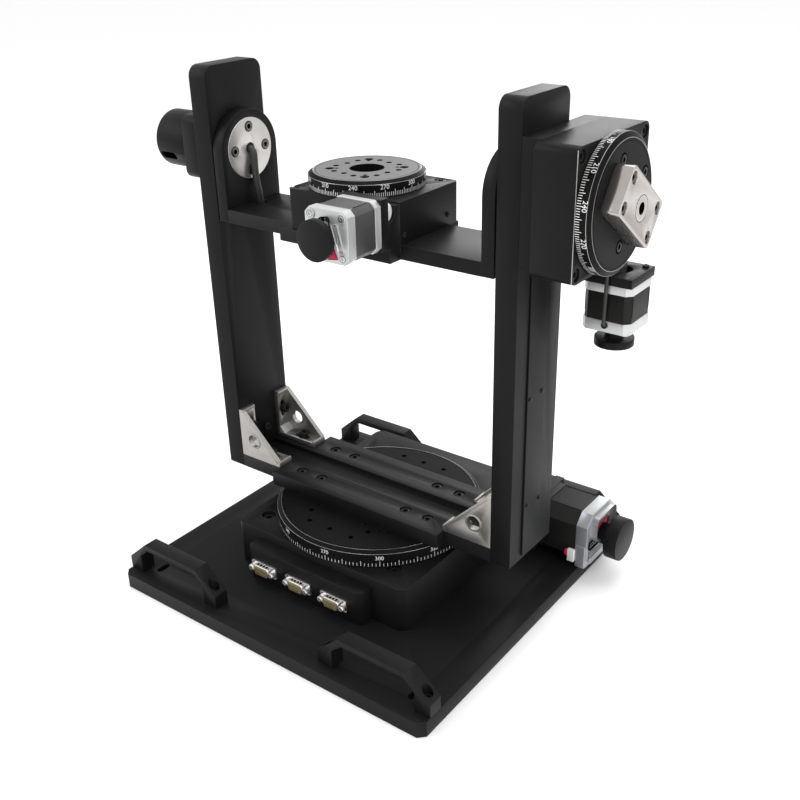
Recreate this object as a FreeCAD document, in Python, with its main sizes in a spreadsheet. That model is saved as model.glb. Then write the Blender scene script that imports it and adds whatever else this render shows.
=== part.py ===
"""Motorized rotation stage on three axes: an azimuth table carries a yoke, the yoke's elevation
table tilts a cradle, and the cradle carries a small rotary table. Millimetres, +Z up, origin on
the azimuth axis at the underside of the base plate, +X along the tilt axis towards its motor."""

import FreeCAD, Part
import math
import os
import Sketcher
from FreeCAD import Rotation, Vector

doc = FreeCAD.newDocument("rotation_stage")
sheet = doc.addObject("Spreadsheet::Sheet", "Sizes")
X_AXIS = Vector(1, 0, 0)
Z_AXIS = Vector(0, 0, 1)


class Size:
    """One length: its number now, and the formula that gives it from the sheet."""

    def __init__(self, number, formula):
        self.number = number
        self.formula = formula

    def __add__(self, other):
        return combined(self, "+", other)

    def __radd__(self, other):
        return combined(other, "+", self)

    def __sub__(self, other):
        return combined(self, "-", other)

    def __rsub__(self, other):
        return combined(other, "-", self)

    def __mul__(self, other):
        return combined(self, "*", other)

    def __rmul__(self, other):
        return combined(other, "*", self)

    def __truediv__(self, other):
        return combined(self, "/", other)

    def __neg__(self):
        return combined(-1, "*", self)


def as_size(value):
    return value if isinstance(value, Size) else Size(float(value), f"({value:g})")


def combined(first, sign, second):
    first = as_size(first)
    second = as_size(second)
    number = {
        "+": lambda a, b: a + b,
        "-": lambda a, b: a - b,
        "*": lambda a, b: a * b,
        "/": lambda a, b: a / b,
    }[sign](first.number, second.number)
    return Size(number, f"({first.formula} {sign} {second.formula})")


class Sizes:
    """The driving dimensions by name, each one a cell of the sheet."""

    rows = 0

    def __init__(self, prefix, values):
        for name, value in values.items():
            Sizes.rows += 1
            alias = prefix + name
            sheet.set(f"A{Sizes.rows}", alias)
            sheet.set(f"B{Sizes.rows}", f"{value:g}")
            sheet.setAlias(f"B{Sizes.rows}", alias)
            setattr(self, name, Size(float(value), f"Sizes.{alias}"))


# Base plate, its four bridge handles and its mounting slots.
base = Sizes("base_", {
    "side": 360,
    "thick": 15,
    "corner": 6,
    "slot_from_axis": 153,
    "slot_width": 6.6,
    "slot_travel": 8,
    "handle_length": 118,
    "handle_width": 15,
    "handle_height": 34,
    "handle_inset": 11,
    "handle_shoulder": 13,
    "handle_slope": 24,
    "handle_foot": 16,
    "handle_bar": 6,
    "handle_screw_head": 9.6,
    "handle_screw_seat": 8,
})

# Yoke: the beam on the azimuth table, its two arms and the corner brackets.
yoke = Sizes("yoke_", {
    "span": 300,
    "beam_width": 70,
    "beam_thick": 14,
    "saddle_length": 200,
    "saddle_width": 90,
    "groove_width": 24,
    "groove_offset": -2,
    "groove_depth": 5,
    "screw_outer": 77,
    "screw_inner": 51.5,
    "screw_across": 26,
    "screw_head": 11,
    "screw_seat": 7,
    "arm_thick": 20,
    "arm_height": 398,
    "arm_corner": 10,
    "axis_height": 323,
    "bracket_leg": 51,
    "bracket_width": 18,
    "bracket_flange": 4,
    "bracket_web": 4,
    "bracket_hole": 14,
    "bracket_hole_across": 17.5,
    "bracket_hole_up": 20,
    "bracket_slot_width": 6.6,
    "bracket_slot_near": 24,
    "bracket_slot_far": 36,
    "duct_width": 28,
    "duct_offset": -2,
    "duct_thick": 1.5,
    "duct_bottom": 4,
    "duct_top": 270,
})

# Cradle between the arms, with its round-topped end plates and the two trunnions.
cradle = Sizes("cradle_", {
    "inside": 274,
    "end_thick": 11.5,
    "end_width": 70,
    "drop": 62,
    "floor_thick": 12,
    "pad_length": 120,
    "pad_width": 98,
    "flange_radius": 27.5,
    "flange_thick": 6,
    "flange_proud": 0.6,
    "left_tube": 14,
    "right_shaft": 9,
    "cable_bore": 5,
    "cable_bore_depth": 10,
    "shaft_centre_bore": 5,
    "shaft_centre_depth": 12,
    "cable_hole_across": 129.5,
    "cable_hole_offset": 2.2,
    "cable_hole_radius": 5,
    "cable_hole_depth": 8,
    "cable_end_gap": 0.8,
    "cable_radius": 3.3,
    "cable_out": 4.6,
    "cable_bow": 24,
    "cable_sway": 0.6,
})

# Left trunnion bearing and the slip ring under its cover outside the left arm.
slip = Sizes("slip_", {
    "bearing_radius": 22,
    "block_side": 58,
    "block_thick": 24,
    "block_corner": 8,
    "block_bore": 20,
    "cover_radius": 26.5,
    "cover_length": 44,
    "cover_wall": 3,
    "cover_round": 4,
    "slot_below": 12,
    "slot_width": 7,
    "slot_start": 21,
    "slot_travel": 13,
    "capsule_radius": 16,
    "capsule_length": 45,
    "tube_end": 12,
})

# Block between the right arm and the elevation stage, and the shaft clamp on its table.
tilt = Sizes("tilt_", {
    "adapter_thick": 19,
    "adapter_front": 35,
    "adapter_back": 60,
    "adapter_up": 48.5,
    "adapter_down": 49.5,
    "adapter_bore": 14,
    "clamp_length": 66,
    "clamp_width": 38,
    "clamp_thick": 14.5,
    "clamp_corner": 3,
    "clamp_bolt_along": 54,
    "clamp_bolt_across": 23,
    "clamp_bolt_head": 9.5,
    "clamp_bolt_seat": 6,
    "lead_radius": 1.5,
    "lead_exit": 6,
    "lead_side": 2.6,
    "lead_across": 21.6,
    "lead_lean": 0.7,
    "lead_seat": 3,
})
CLAMP_ANGLE = -36

# Connector box on the front of the azimuth housing, with three nine-pole sockets.
ports = Sizes("ports_", {
    "left": 74,
    "right": 64,
    "depth": 15,
    "height": 35,
    "corner": 6,
    "pitch": 43,
    "first": -52.7,
    "up": 16,
    "plate_length": 30.8,
    "plate_height": 12.5,
    "plate_thick": 1.2,
    "shell_length": 17,
    "shell_height": 8.4,
    "shell_depth": 6,
})

# Clearances shared by every fit.
fit = Sizes("fit_", {
    "running": 0.3,
    "table": 0.5,
    "press": 0.02,
    "bearing": 0.05,
    "side": 1.5,
})

# The three worm-driven rotary stages share one design, with these sizes for each.
STAGE_TABLE = {
    "table_radius": (100, 52, 50),
    "table_thick": (15.5, 11, 12.5),
    "bevel_out": (4, 4, 4),
    "bevel_down": (2.5, 2.5, 2.5),
    "table_bore": (30, 15, 15),
    "hub_radius": (70, 32, 23),
    "hub_floor": (8, 6, 6),
    "left": (97, 51, 48),
    "right": (132, 62, 60.65),
    "front": (101.5, 49.5, 48),
    "back": (101.5, 49.5, 48),
    "height": (45, 34, 35.5),
    "corner": (9, 7, 4),
    "screw_left": (72, 44, 43),
    "screw_right": (84, 55, 47),
    "screw_side": (77, 42, 41),
    "screw_shift": (5, 0, 0),
    "screw_head": (14, 10.5, 10.5),
    "screw_seat": (9, 7, 7),
    "worm_offset": (108, 56, 39.5),
    "worm_up": (28.7, 21, 21.5),
    "worm_radius": (14, 10, 9),
    "worm_length": (60, 36, 30),
    "worm_shaft": (6, 4, 4),
    "worm_tail": (12, 8, 6),
    "wheel_width": (18, 12, 10),
    "mount_recess": (12, 12, 12),
    "neck_height": (45, 23, 34.5),
    "flange_thick": (9, 7.5, 9.5),
    "motor_plane": (131, 75.5, 60),
    "motor_side": (56.4, 42.3, 42.3),
    "motor_length": (56, 40, 41),
    "motor_chamfer": (10.5, 4.5, 4.5),
    "front_cap": (8, 7, 7),
    "rear_cap": (12, 9.5, 9.5),
    "pilot": (19, 11, 11),
    "motor_shaft": (4, 2.5, 2.5),
    "coupling_radius": (12, 6, 9),
    "coupling_length": (26, 22, 18),
    "window": (12, 8, 8.2),
    "window_up": (0, 0, 8.5),
    "knob_radius": (21, 16.5, 16.5),
    "knob_thick": (13, 6.5, 6),
    "knob_neck": (12.5, 10, 9.5),
    "knob_neck_radius": (10.5, 8, 8),
}
STAGES = ("azimuth", "elevation", "top")
azimuth, elevation, top = (
    Sizes(stage + "_", {name: values[column] for name, values in STAGE_TABLE.items()})
    for column, stage in enumerate(STAGES)
)
doc.recompute()

# Bolt holes in the top table, drilled from above, and how far each table is turned.
holes = Sizes("holes_", {
    "bolt_circle": 31.5,
    "bolt_radius": 2.5,
    "bolt_depth": 12,
})
TABLE_TURN = {"azimuth": 0, "elevation": 0, "top": 35}
pieces = []


class Spot:
    """A place in the part's frame: an origin given by sizes, and a turn."""

    def __init__(self, across, along, up, turn=None):
        self.origin = [as_size(across), as_size(along), as_size(up)]
        self.turn = turn or Rotation()

    def at(self, across, along, up, turn=None):
        """A further spot, given in this spot's own directions."""
        origin = list(self.origin)
        for step, direction in zip((across, along, up), (X_AXIS, Vector(0, 1, 0), Z_AXIS)):
            seen = self.turn.multVec(direction)
            for index, share in enumerate((seen.x, seen.y, seen.z)):
                if abs(share) > 0.5:
                    origin[index] = origin[index] + round(share) * as_size(step)
        return Spot(*origin, turn=self.turn.multiply(turn or Rotation()))


WORLD = Spot(0, 0, 0)


def bind_place(item, spot):
    """Puts an object at a spot and ties the spot's origin to the sheet."""
    item.Placement = FreeCAD.Placement(Vector(*(size.number for size in spot.origin)), spot.turn)
    for letter, size in zip("xyz", spot.origin):
        item.setExpression(f".Placement.Base.{letter}", size.formula)


def tie(sketch, element, point, across, up):
    """Fixes one point of a sketch at two sizes from the sketch's origin."""
    for kind, axis, size in (("DistanceX", -2, as_size(across)), ("DistanceY", -1, as_size(up))):
        if abs(size.number) < 1e-9:
            sketch.addConstraint(Sketcher.Constraint("PointOnObject", element, point, axis))
            continue
        if size.number > 0:
            rule = Sketcher.Constraint(kind, -1, 1, element, point, size.number)
            formula = size.formula
        else:
            rule = Sketcher.Constraint(kind, element, point, -1, 1, -size.number)
            formula = f"-({size.formula})"
        sketch.setExpression(f"Constraints[{sketch.addConstraint(rule)}]", formula)


def polygon(sketch, corners):
    """A closed outline of straight lines through the corners."""
    corners = [(as_size(a), as_size(b)) for a, b in corners]
    points = [Vector(a.number, b.number, 0) for a, b in corners]
    count = len(points)
    first = sketch.GeometryCount
    for index in range(count):
        sketch.addGeometry(Part.LineSegment(points[index], points[(index + 1) % count]))
    for index, (a, b) in enumerate(corners):
        after = first + (index + 1) % count
        sketch.addConstraint(Sketcher.Constraint("Coincident", first + index, 2, after, 1))
        tie(sketch, first + index, 1, a, b)


def rectangle(sketch, left, right, low, high):
    polygon(sketch, [(left, low), (right, low), (right, high), (left, high)])


def circle(sketch, across, up, radius):
    across, up, radius = as_size(across), as_size(up), as_size(radius)
    centre = Vector(across.number, up.number, 0)
    ring = sketch.addGeometry(Part.Circle(centre, Z_AXIS, radius.number))
    rule = sketch.addConstraint(Sketcher.Constraint("Radius", ring, radius.number))
    sketch.setExpression(f"Constraints[{rule}]", radius.formula)
    tie(sketch, ring, 3, across, up)


def slot(sketch, middle, low, high, radius, sideways=False):
    """A round-ended slot between two centres, up the sketch or sideways across it."""
    middle, low, high, radius = (as_size(size) for size in (middle, low, high, radius))
    centres = [(high, middle), (low, middle)] if sideways else [(middle, high), (middle, low)]
    first_angle = -math.pi / 2 if sideways else 0
    arcs = []
    for index, (across, up) in enumerate(centres):
        start = first_angle + index * math.pi
        ring = Part.Circle(Vector(across.number, up.number, 0), Z_AXIS, radius.number)
        arcs.append(Part.ArcOfCircle(ring, start, start + math.pi))
    ahead, behind = arcs
    sides = [
        Part.LineSegment(ahead.EndPoint, behind.StartPoint),
        Part.LineSegment(behind.EndPoint, ahead.StartPoint),
    ]
    far, near, leaving, returning = (sketch.addGeometry(edge) for edge in arcs + sides)
    round_trip = (far, leaving, near, returning)
    for index, edge in enumerate(round_trip):
        after = round_trip[(index + 1) % len(round_trip)]
        sketch.addConstraint(Sketcher.Constraint("Tangent", edge, 2, after, 1))
    rule = sketch.addConstraint(Sketcher.Constraint("Radius", far, radius.number))
    sketch.setExpression(f"Constraints[{rule}]", radius.formula)
    for edge, (across, up) in zip((far, near), centres):
        tie(sketch, edge, 3, across, up)


class Piece:
    """One sub-part: a body of sketched features at its own spot."""

    def __init__(self, label, spot=WORLD):
        self.body = doc.addObject("PartDesign::Body", label)
        self.body.Label = label
        bind_place(self.body, spot)
        pieces.append(self.body)

    def sketch(self, plane, level=0):
        """A sketch on an origin plane (XY, XZ or YZ), moved to a level along the plane's axis."""
        page = self.body.newObject("Sketcher::SketchObject", f"{self.body.Name}_{plane}")
        role = f"{plane}_Plane"
        planes = [item for item in self.body.Origin.OriginFeatures if item.Role == role]
        page.AttachmentSupport = [(planes[0], "")]
        page.MapMode = "FlatFace"
        level = as_size(level)
        offset = -level if plane == "XZ" else level
        page.AttachmentOffset = FreeCAD.Placement(Vector(0, 0, offset.number), Rotation())
        page.setExpression(".AttachmentOffset.Base.z", offset.formula)
        return page

    def feature(self, kind, page, adds):
        """A feature on a sketch, with a check that it added or removed material."""
        before = self.body.Shape.Volume if self.body.Tip else 0
        item = self.body.newObject(f"PartDesign::{kind}", f"{self.body.Name}_{kind}")
        item.Profile = page
        page.Visibility = False
        return item, before, adds

    def finish(self, item, before, adds):
        doc.recompute()
        change = self.body.Shape.Volume - before
        if (change > 1e-6) != adds or abs(change) < 1e-6:
            raise ValueError(f"{item.Name} changed the volume by {change:.3f}")

    def pad(self, plane, low, high, draw):
        """Adds an outline between two levels along the plane's axis."""
        low, high = as_size(low), as_size(high)
        page = self.sketch(plane, high if plane == "XZ" else low)
        draw(page)
        item, before, adds = self.feature("Pad", page, True)
        length = high - low
        item.Length = length.number
        item.setExpression("Length", length.formula)
        self.finish(item, before, adds)

    def cut(self, plane, low, high, draw):
        """Removes an outline between two levels along the plane's axis."""
        low, high = as_size(low), as_size(high)
        page = self.sketch(plane, low if plane == "XZ" else high)
        draw(page)
        item, before, adds = self.feature("Pocket", page, False)
        length = high - low
        item.Length = length.number
        item.setExpression("Length", length.formula)
        self.finish(item, before, adds)

    def spin(self, corners):
        """A solid of revolution about the body's Z axis; corners are radius and height."""
        page = self.sketch("XZ")
        polygon(page, corners)
        item, before, adds = self.feature("Revolution", page, True)
        item.ReferenceAxis = (page, ["V_Axis"])
        item.Angle = 360
        self.finish(item, before, adds)

    def dress(self, kind, size, chosen):
        """A fillet or chamfer on the edges that the test picks from their middle and direction."""
        tip = self.body.Tip
        names = []
        for number, edge in enumerate(tip.Shape.Edges, 1):
            if len(edge.Vertexes) != 2 or edge.Curve.TypeId != "Part::GeomLine":
                continue
            ends = [vertex.Point for vertex in edge.Vertexes]
            if chosen((ends[0] + ends[1]) * 0.5, (ends[1] - ends[0]).normalize()):
                names.append(f"Edge{number}")
        item = self.body.newObject(f"PartDesign::{kind}", f"{self.body.Name}_{kind}")
        item.Base = (tip, names)
        name = "Radius" if kind == "Fillet" else "Size"
        setattr(item, name, size.number)
        item.setExpression(name, size.formula)
        self.finish(item, tip.Shape.Volume, False)


def upright(middle, direction):
    return abs(direction.z) > 0.99


def build_base():
    """The plate that everything stands on, with four slots for the bench."""
    half = base.side / 2
    plate = Piece("base_plate")
    plate.pad("XY", 0, base.thick, lambda page: rectangle(page, -half, half, -half, half))
    plate.dress("Chamfer", base.corner, upright)

    def slots(page):
        for side in (-1, 1):
            for end in (-1, 1):
                middle = end * base.slot_from_axis
                slot(
                    page,
                    side * base.slot_from_axis,
                    middle - base.slot_travel / 2,
                    middle + base.slot_travel / 2,
                    base.slot_width / 2,
                )

    plate.cut("XY", 0, base.thick, slots)
    for side, side_name in ((-1, "left"), (1, "right")):
        for end, end_name in ((-1, "front"), (1, "rear")):
            build_handle(f"{end_name}_{side_name}_handle", side, end)


def build_handle(label, side, end):
    """A bridge handle: two feet, sloped shoulders and a flat bar, cut from one bar of metal."""
    half = base.handle_length / 2
    spot = Spot(
        side * (base.side / 2 - half),
        end * (base.side / 2 - base.handle_inset - base.handle_width / 2),
        base.thick,
    )
    handle = Piece(label, spot)
    inner_top = base.handle_height - base.handle_bar
    rise = (base.handle_height - base.handle_shoulder) / base.handle_slope
    inner_slope = base.handle_slope + base.handle_bar / 2
    inner_shoulder = inner_top - rise * (inner_slope - base.handle_foot)

    def profile(page):
        polygon(page, [
            (-half, 0),
            (base.handle_foot - half, 0),
            (base.handle_foot - half, inner_shoulder),
            (inner_slope - half, inner_top),
            (half - inner_slope, inner_top),
            (half - base.handle_foot, inner_shoulder),
            (half - base.handle_foot, 0),
            (half, 0),
            (half, base.handle_shoulder),
            (half - base.handle_slope, base.handle_height),
            (base.handle_slope - half, base.handle_height),
            (-half, base.handle_shoulder),
        ])

    handle.pad("XZ", -base.handle_width / 2, base.handle_width / 2, profile)
    screw = half - base.handle_foot / 2

    def heads(page):
        for place in (-screw, screw):
            circle(page, place, 0, base.handle_screw_head / 2)

    handle.cut("XY", base.handle_screw_seat, base.handle_height, heads)


def bolt_holes(page):
    for across, along in ((1, 0), (0, 1), (-1, 0), (0, -1)):
        circle(page, across * holes.bolt_circle, along * holes.bolt_circle, holes.bolt_radius)


def build_stage(name, sizes, spot):
    """A worm-driven rotary stage: housing, table, wheel, worm, motor mount, motor and knob.

    The table turns about the spot's Z axis. The worm lies beside it along Y, and its motor
    stands off the front, towards -Y."""
    mount_left = sizes.worm_offset - sizes.motor_side / 2
    mount_back = -(sizes.front - sizes.mount_recess)
    wheel_radius = sizes.worm_offset - sizes.worm_radius - fit.running
    cavity_radius = wheel_radius + fit.table
    tunnel_radius = sizes.worm_radius + fit.table
    seat = sizes.height + fit.table
    table_top = seat + sizes.table_thick

    housing = Piece(f"{name}_housing", spot)
    housing.pad("XY", 0, sizes.height, lambda page: polygon(page, [
        (-sizes.left, -sizes.front),
        (mount_left, -sizes.front),
        (mount_left, mount_back),
        (sizes.right, mount_back),
        (sizes.right, sizes.back),
        (-sizes.left, sizes.back),
    ]))
    left = -sizes.left.number
    right = sizes.right.number
    back = sizes.back.number
    housing.dress("Fillet", sizes.corner, lambda middle, direction: upright(middle, direction) and (
        abs(middle.x - left) < 0.01 or (middle.y > back - 0.01 and middle.x > right - 0.01)))
    housing.cut("XY", sizes.hub_floor, sizes.height, lambda page: circle(page, 0, 0, cavity_radius))
    housing.cut("XY", 0, sizes.hub_floor, lambda page: circle(page, 0, 0, sizes.table_bore + fit.side))
    tunnel_end = sizes.worm_length / 2 + sizes.worm_tail + fit.table
    housing.cut("XZ", mount_back, tunnel_end, lambda page: circle(
        page, sizes.worm_offset, sizes.worm_up, tunnel_radius))

    def corner_heads(page):
        for across, end in ((-sizes.screw_left, -1), (-sizes.screw_left, 1), (sizes.screw_right, 1)):
            circle(page, across, end * sizes.screw_side + sizes.screw_shift, sizes.screw_head / 2)

    housing.cut("XY", sizes.height - sizes.screw_seat, sizes.height, corner_heads)

    table = Piece(f"{name}_table", spot.at(0, 0, 0, Rotation(Z_AXIS, TABLE_TURN[name])))
    hub_bottom = sizes.hub_floor + fit.running
    table.spin([
        (sizes.table_bore, hub_bottom),
        (sizes.hub_radius, hub_bottom),
        (sizes.hub_radius, seat),
        (sizes.table_radius, seat),
        (sizes.table_radius, table_top - sizes.bevel_down),
        (sizes.table_radius - sizes.bevel_out, table_top),
        (sizes.table_bore, table_top),
    ])
    if name == "top":
        table.cut("XY", table_top - holes.bolt_depth, table_top, bolt_holes)

    wheel = Piece(f"{name}_worm_wheel", spot)
    wheel.spin([
        (sizes.hub_radius, sizes.worm_up - sizes.wheel_width / 2),
        (wheel_radius, sizes.worm_up - sizes.wheel_width / 2),
        (wheel_radius, sizes.worm_up + sizes.wheel_width / 2),
        (sizes.hub_radius, sizes.worm_up + sizes.wheel_width / 2),
    ])

    drive = spot.at(sizes.worm_offset, 0, sizes.worm_up, Rotation(X_AXIS, 90))
    build_drive(name, sizes, drive, -mount_back)
    return table_top


def build_drive(name, sizes, drive, mount_back):
    """The worm, its coupling, the motor and the hand knob, all on the drive's Z axis."""
    half_worm = sizes.worm_length / 2
    flange_back = sizes.motor_plane - sizes.flange_thick
    coupling_start = flange_back + sizes.flange_thick / 2 - sizes.coupling_length
    meet = coupling_start + sizes.coupling_length / 2
    worm = Piece(f"{name}_worm", drive)
    worm.spin([
        (0, -half_worm - sizes.worm_tail),
        (sizes.worm_shaft, -half_worm - sizes.worm_tail),
        (sizes.worm_shaft, -half_worm),
        (sizes.worm_radius, -half_worm),
        (sizes.worm_radius, half_worm),
        (sizes.worm_shaft, half_worm),
        (sizes.worm_shaft, meet),
        (0, meet),
    ])
    coupling_end = coupling_start + sizes.coupling_length
    coupling = Piece(f"{name}_coupling", drive)
    coupling.pad("XY", coupling_start, coupling_end, lambda page: circle(page, 0, 0, sizes.coupling_radius))
    coupling.cut("XY", coupling_start, meet, lambda page: circle(page, 0, 0, sizes.worm_shaft))
    coupling.cut("XY", meet, coupling_end, lambda page: circle(page, 0, 0, sizes.motor_shaft))

    half = sizes.motor_side / 2
    mount = Piece(f"{name}_motor_mount", drive)
    neck_right = sizes.right - sizes.worm_offset
    mount.pad("XY", mount_back, flange_back, lambda page: rectangle(
        page, -half, neck_right, -sizes.worm_up, sizes.neck_height - sizes.worm_up))
    mount.cut("YZ", 0, neck_right, lambda page: circle(page, sizes.window_up, flange_back, sizes.window))
    mount.pad("XY", flange_back, sizes.motor_plane, lambda page: rectangle(page, -half, half, -half, half))
    mount.cut("XY", mount_back, sizes.motor_plane, lambda page: circle(page, 0, 0, sizes.pilot))

    motor_end = sizes.motor_plane + sizes.motor_length
    stator_start = sizes.motor_plane + sizes.front_cap
    stator_end = motor_end - sizes.rear_cap

    def octagon(page, half_side, chamfer):
        flat = half_side - chamfer
        polygon(page, [
            (-half_side, -flat), (-flat, -half_side), (flat, -half_side), (half_side, -flat),
            (half_side, flat), (flat, half_side), (-flat, half_side), (-half_side, flat),
        ])

    shaft_bore = sizes.motor_shaft + fit.running
    stator = Piece(f"{name}_motor_stator", drive)
    stator.pad("XY", stator_start, stator_end, lambda page: octagon(
        page, half - fit.table, sizes.motor_chamfer + fit.table))
    stator.cut("XY", stator_start, stator_end, lambda page: circle(page, 0, 0, shaft_bore))
    caps = Piece(f"{name}_motor_caps", drive)
    caps.body.AllowCompound = True
    for low, high in ((sizes.motor_plane, stator_start), (stator_end, motor_end)):
        caps.pad("XY", low, high, lambda page: octagon(page, half, sizes.motor_chamfer))
        caps.cut("XY", low, high, lambda page: circle(page, 0, 0, shaft_bore))
    knob_back = motor_end + fit.table
    disc_back = knob_back + sizes.knob_neck
    shaft_end = disc_back + sizes.knob_thick / 2
    shaft = Piece(f"{name}_motor_shaft", drive)
    shaft.pad("XY", meet, shaft_end, lambda page: circle(page, 0, 0, sizes.motor_shaft))
    knob = Piece(f"{name}_knob", drive)
    knob.spin([
        (sizes.motor_shaft, knob_back),
        (sizes.knob_neck_radius, knob_back),
        (sizes.knob_neck_radius, disc_back),
        (sizes.knob_radius, disc_back),
        (sizes.knob_radius, disc_back + sizes.knob_thick),
        (0, disc_back + sizes.knob_thick),
        (0, shaft_end),
        (sizes.motor_shaft, shaft_end),
    ])


def build_ports(front):
    """The connector box on the front of the azimuth housing, with its three sockets."""
    box = Piece("connector_box")
    face = -(front + ports.depth)
    floor = base.thick
    box.pad("XY", floor, floor + ports.height, lambda page: rectangle(
        page, -ports.left, ports.right, face, -front))
    limit = face.number
    box.dress("Fillet", ports.corner, lambda middle, direction: upright(middle, direction)
              and abs(middle.y - limit) < 0.01)
    sockets = []
    for number in range(3):
        across = ports.first + number * ports.pitch
        parts = []
        for length, height, depth in (
            (ports.plate_length, ports.plate_height, ports.plate_thick),
            (ports.shell_length, ports.shell_height, ports.shell_depth),
        ):
            block = doc.addObject("Part::Box", f"socket_block_{number}_{len(parts)}")
            for name, size in (("Length", length), ("Width", depth), ("Height", height)):
                block.setExpression(name, size.formula)
            bind_place(block, Spot(
                across - length / 2, face - depth, floor + ports.up - height / 2))
            parts.append(block)
        socket = doc.addObject("Part::MultiFuse", f"socket_{number}")
        socket.Shapes = parts
        sockets.append(socket)
    group = doc.addObject("Part::Compound", "signal_sockets")
    group.Label = "signal_sockets"
    group.Links = sockets
    pieces.append(group)


def cross(page, long_x, short_x, long_y, short_y):
    """A plate outline that is widened between -short_x and short_x."""
    polygon(page, [
        (-long_x, -short_y), (-short_x, -short_y), (-short_x, -long_y), (short_x, -long_y),
        (short_x, -short_y), (long_x, -short_y), (long_x, short_y), (short_x, short_y),
        (short_x, long_y), (-short_x, long_y), (-short_x, short_y), (-long_x, short_y),
    ])


def build_yoke(floor, axis_up):
    """The beam with its widened saddle, the arms and the corner brackets."""
    half_span = yoke.span / 2
    half_width = yoke.beam_width / 2
    beam_top = floor + yoke.beam_thick
    beam = Piece("yoke_beam")
    beam.pad("XY", floor, beam_top, lambda page: cross(
        page, half_span, yoke.saddle_length / 2, yoke.saddle_width / 2, half_width))
    beam.cut("XY", beam_top - yoke.groove_depth, beam_top, lambda page: rectangle(
        page, -half_span, half_span,
        yoke.groove_offset - yoke.groove_width / 2, yoke.groove_offset + yoke.groove_width / 2))

    def screw_heads(page):
        for place in (yoke.screw_outer, yoke.screw_inner):
            for side in (-1, 1):
                for end in (-1, 1):
                    circle(page, side * place, end * yoke.screw_across, yoke.screw_head / 2)

    beam.cut("XY", beam_top - yoke.screw_seat, beam_top, screw_heads)

    for side, name, bore in ((-1, "left", slip.bearing_radius), (1, "right", tilt.adapter_bore)):
        arm = Piece(f"{name}_arm")
        inner, outer = side * half_span, side * (half_span + yoke.arm_thick)
        low, high = (outer, inner) if side < 0 else (inner, outer)
        arm.pad("YZ", low, high, lambda page: rectangle(
            page, -half_width, half_width, floor, floor + yoke.arm_height))
        roof = (floor + yoke.arm_height).number
        arm.dress("Fillet", yoke.arm_corner, lambda middle, direction: abs(direction.x) > 0.99
                  and abs(middle.z - roof) < 0.01)
        arm.cut("YZ", low, high, lambda page: circle(page, 0, axis_up, bore))
        for end, end_name in ((-1, "front"), (1, "rear")):
            build_bracket(f"{name}_{end_name}_bracket", side, end, half_span, beam_top, half_width)

    duct_middle = yoke.duct_offset
    duct = Piece("arm_duct_cover")
    outside = half_span + yoke.arm_thick
    duct.pad("YZ", outside, outside + yoke.duct_thick, lambda page: rectangle(
        page, duct_middle - yoke.duct_width / 2, duct_middle + yoke.duct_width / 2,
        floor + yoke.duct_bottom, floor + yoke.duct_top))


def build_bracket(label, side, end, half_span, beam_top, half_width):
    """A cast corner bracket: two flanges at right angles and a triangular web with a hole."""
    outer = end * half_width
    inner = end * (half_width - yoke.bracket_width)
    web = end * (half_width - yoke.bracket_web)
    spot = Spot(side * half_span, 0, beam_top)
    bracket = Piece(label, spot)
    leg = yoke.bracket_leg
    skin = yoke.bracket_flange

    def flanges(page):
        polygon(page, [
            (0, 0), (-side * leg, 0), (-side * leg, skin), (-side * skin, skin),
            (-side * skin, leg), (0, leg),
        ])

    def gusset(page):
        polygon(page, [
            (0, 0), (-side * leg, 0), (-side * leg, skin), (-side * skin, leg), (0, leg),
        ])

    low, high = (outer, inner) if end < 0 else (inner, outer)
    bracket.pad("XZ", low, high, flanges)
    low, high = (outer, web) if end < 0 else (web, outer)
    bracket.pad("XZ", low, high, gusset)
    bracket.cut("XZ", low, high, lambda page: circle(
        page, -side * yoke.bracket_hole_across, yoke.bracket_hole_up, yoke.bracket_hole / 2))
    middle = (inner + web) / 2
    radius = yoke.bracket_slot_width / 2
    ends = (-side * yoke.bracket_slot_near, -side * yoke.bracket_slot_far)
    left, right = reversed(ends) if side > 0 else ends
    bracket.cut("XY", 0, skin, lambda page: slot(page, middle, left, right, radius, sideways=True))
    low, high = (0, skin) if side < 0 else (-skin, 0)
    bracket.cut("YZ", low, high, lambda page: slot(
        page, middle, yoke.bracket_slot_near, yoke.bracket_slot_far, radius))


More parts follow.
